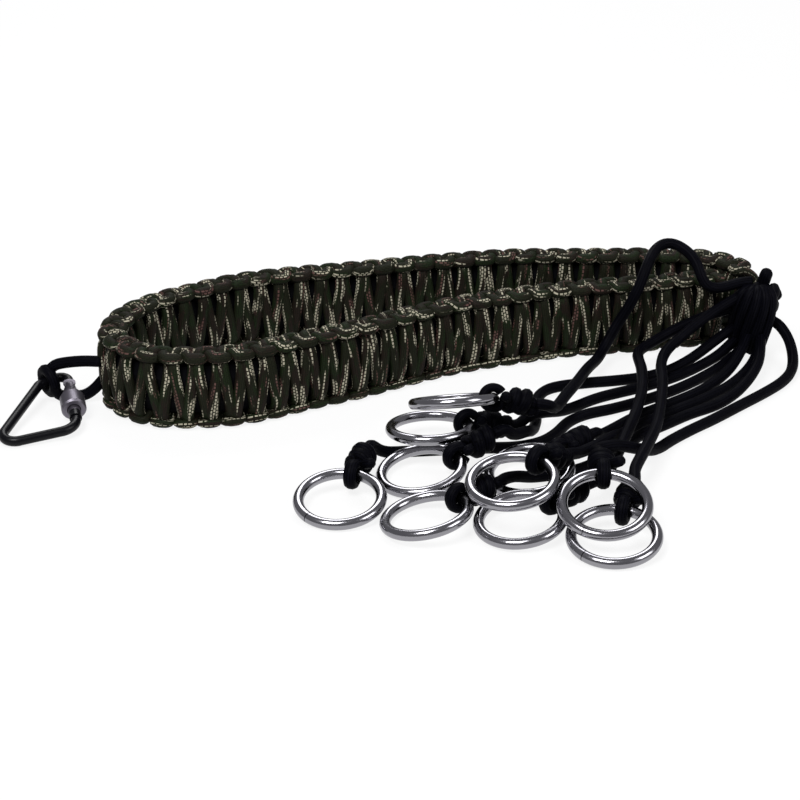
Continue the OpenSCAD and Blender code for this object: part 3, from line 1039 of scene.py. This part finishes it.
@dataclass
class Studio:
    """Pale floor, soft lamps and the camera of the photograph.

    Attributes:
        distance: Distance from the camera to the layout's origin.
        azimuth: Plan direction of the camera, in degrees.
        elevation: Its height over the floor, in degrees.
        lens: Focal length of its lens.
        sensor: Width of its sensor.
        floor_size: Side of the floor, in metres.
        floor_colour: Hex colour of the floor.
        floor_rough: Roughness of the floor.
        floor_glow: Share of plain white in what the camera and polished metal see of the floor.
        room_colour: Hex colour of the room's light.
        room_light: Strength of the room's light.
        lamps: The lamps.
    """

    distance: float = 842.0
    azimuth: float = -13.0
    elevation: float = 25.5
    lens: float = 96.9
    sensor: float = 36.0
    floor_size: float = 12.0
    floor_colour: str = "#f0f0f0"
    floor_rough: float = 0.9
    floor_glow: float = 0.85
    room_colour: str = "#c4c4c8"
    room_light: float = 0.45
    lamps: tuple[Lamp, ...] = (
        Lamp("key_lamp", (-0.5, -0.5, 1.1), 0.55, 14.0),
        Lamp("fill_lamp", (0.8, -0.6, 0.8), 0.6, 6.0),
        Lamp("back_lamp", (0.1, 0.9, 0.9), 0.6, 6.0),
    )

    def camera(self) -> None:
        """Adds the camera at the photograph's viewing angle."""
        a, e = math.radians(self.azimuth), math.radians(self.elevation)
        back = np.array([math.sin(a) * math.cos(e), -math.cos(a) * math.cos(e), math.sin(e)])
        data = bpy.data.cameras.new("camera")
        data.lens, data.sensor_width, data.sensor_fit = self.lens, self.sensor, "HORIZONTAL"
        camera = bpy.data.objects.new("camera", data)
        bpy.context.scene.collection.objects.link(camera)
        camera.location = tuple((LAYOUT + back * self.distance) * MM)
        camera.rotation_euler = (math.pi / 2 - e, 0, a)
        bpy.context.scene.camera = camera

    def floor(self) -> None:
        """Adds a floor of matt white card, which the camera and polished metal see as nearly white."""
        bpy.ops.object.select_all(action="DESELECT")
        bpy.ops.mesh.primitive_plane_add(size=self.floor_size)
        plane = bpy.context.object
        plane.name = "floor"
        material, tree, shader = new_material("white_card")
        shader.inputs["Base Color"].default_value = srgb(self.floor_colour)
        shader.inputs["Roughness"].default_value = self.floor_rough
        path = add_node(tree, "ShaderNodeLightPath")
        seen = add_node(tree, "ShaderNodeMath", {
            0: path.outputs["Is Camera Ray"], 1: path.outputs["Is Glossy Ray"]}, operation="MAXIMUM")
        share = add_node(tree, "ShaderNodeMath", {0: seen.outputs["Value"]}, {1: self.floor_glow},
                         operation="MULTIPLY")
        glow = add_node(tree, "ShaderNodeEmission", sets={"Strength": 1.0})
        mix = add_node(tree, "ShaderNodeMixShader", {
            0: share.outputs["Value"], 1: shader.outputs["BSDF"], 2: glow.outputs["Emission"]})
        tree.links.new(mix.outputs["Shader"], tree.nodes["Material Output"].inputs["Surface"])
        plane.data.materials.append(material)

    def world(self) -> None:
        """Lights the room with an even grey that the camera sees as white."""
        world = bpy.data.worlds.new("room")
        bpy.context.scene.world = world
        world.use_nodes = True
        tree = world.node_tree
        soft = tree.nodes["Background"]
        soft.inputs["Color"].default_value = srgb(self.room_colour)
        soft.inputs["Strength"].default_value = self.room_light
        white = add_node(tree, "ShaderNodeBackground", sets={"Color": (1, 1, 1, 1), "Strength": 1.0})
        path = add_node(tree, "ShaderNodeLightPath")
        mix = add_node(tree, "ShaderNodeMixShader", {
            0: path.outputs["Is Camera Ray"], 1: soft.outputs["Background"], 2: white.outputs["Background"]})
        tree.links.new(mix.outputs["Shader"], tree.nodes["World Output"].inputs["Surface"])

    def build(self) -> None:
        """Sets up the whole studio."""
        bpy.context.scene.view_settings.view_transform = "Standard"
        self.camera()
        self.floor()
        self.world()
        for lamp in self.lamps:
            lamp.build()


def dress_nodes(nodes: dict) -> None:
    """Gives the metal and inner nodes of the frame their finishes.

    Args:
        nodes: The frame's node objects by name.
    """
    metals = {
        "carabiner_frame": ENAMEL, "gate": SATIN, "gate_pin": SATIN, "gate_plunger": SATIN, "lock_sleeve": SATIN,
        "gate_spring": SPRING_STEEL, **{f"ring_{number}": NICKEL for number in range(1, len(EYES) + 1)},
    }
    materials = {finish: finish.make() for finish in (NICKEL, ENAMEL, SATIN, SPRING_STEEL, INNER_CORD)}
    for name, node in nodes.items():
        node.data.materials.clear()
        node.data.materials.append(materials[metals.get(name, INNER_CORD)])


def main() -> None:
    """Builds every piece of the scene in order."""
    logging.basicConfig(level=logging.INFO, format="%(name)s %(message)s")
    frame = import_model()
    bpy.ops.object.select_all(action="DESELECT")
    dress_nodes(frame["nodes"])
    black, camo = BLACK_CORD.make(), CAMO_CORD.make()
    Studio().build()
    joints = {joint["name"]: joint for joint in frame["record"]["behaviour"]["joints"]}
    for number, (route, (turn, rise)) in enumerate(zip(DROPPER_ROUTES, EYES), 1):
        joint = joints[f"ring_{number}_turn"]
        centre = np.array(joint["pos_m"]) / MM - LAYOUT
        Dropper(number, route, turn, rise, centre, unit(np.array(joint["axis"]))).build(black)
    BindingKnot().build(black)
    swing = joints["carabiner_swing"]
    CarabinerLoop(np.array(swing["pos_m"]) / MM - LAYOUT, np.array(swing["axis"])).build(black)
    WovenStrap().build(camo)


if __name__ == "__main__":
    main()
